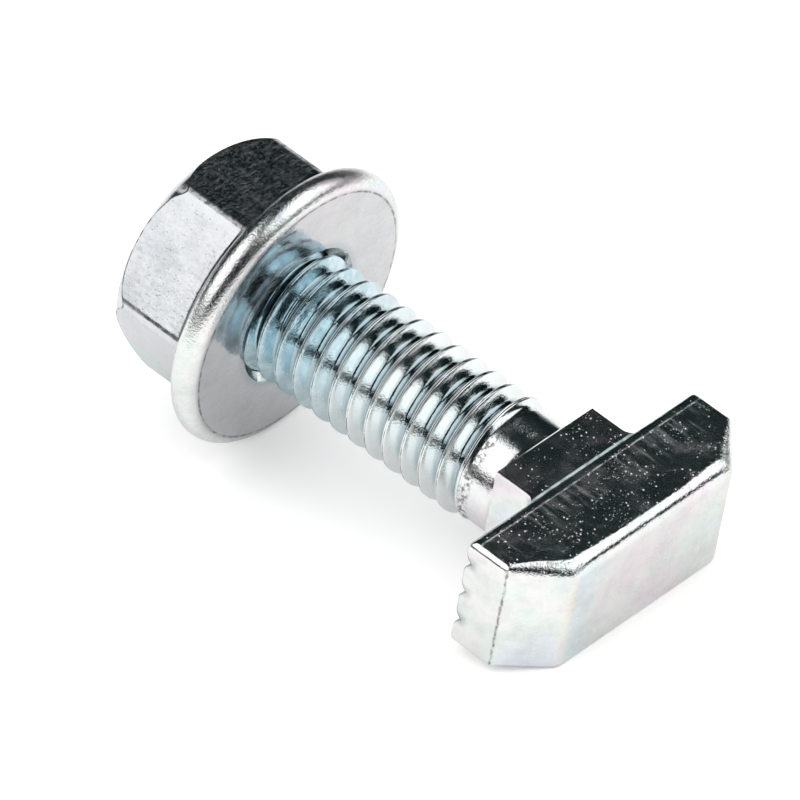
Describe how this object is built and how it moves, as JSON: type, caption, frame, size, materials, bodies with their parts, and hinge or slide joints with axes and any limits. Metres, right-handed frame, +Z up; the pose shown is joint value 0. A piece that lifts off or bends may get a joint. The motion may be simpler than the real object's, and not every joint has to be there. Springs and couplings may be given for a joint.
{
  "type": "t slot bolt",
  "caption": "Hammer-head bolt with a toothed seat and square neck for a T slot, and a hexagon flange nut run on to its thread.",
  "frame": {"origin": "bottom centre of the bounding box, on the surface that the bolt and its nut lie on", "axes": "+X from the nut to the head, +Y along the head, +Z up; the bolt lies on its side with the head end low"},
  "size_m": [0.0262, 0.014, 0.013],
  "materials": {
    "zinc_plated_steel": "bright zinc plate, slightly uneven"
  },
  "bodies": {
    "bolt": {"t_slot_bolt": "zinc_plated_steel"},
    "nut": {"flange_nut": "zinc_plated_steel"}
  },
  "joints": [
    {"name": "nut_travel", "type": "slide", "parent": "bolt", "child": "nut", "axis": [-0.9819, 0, 0.1893], "range_m": [-0.011, 0.004]}
  ]
}
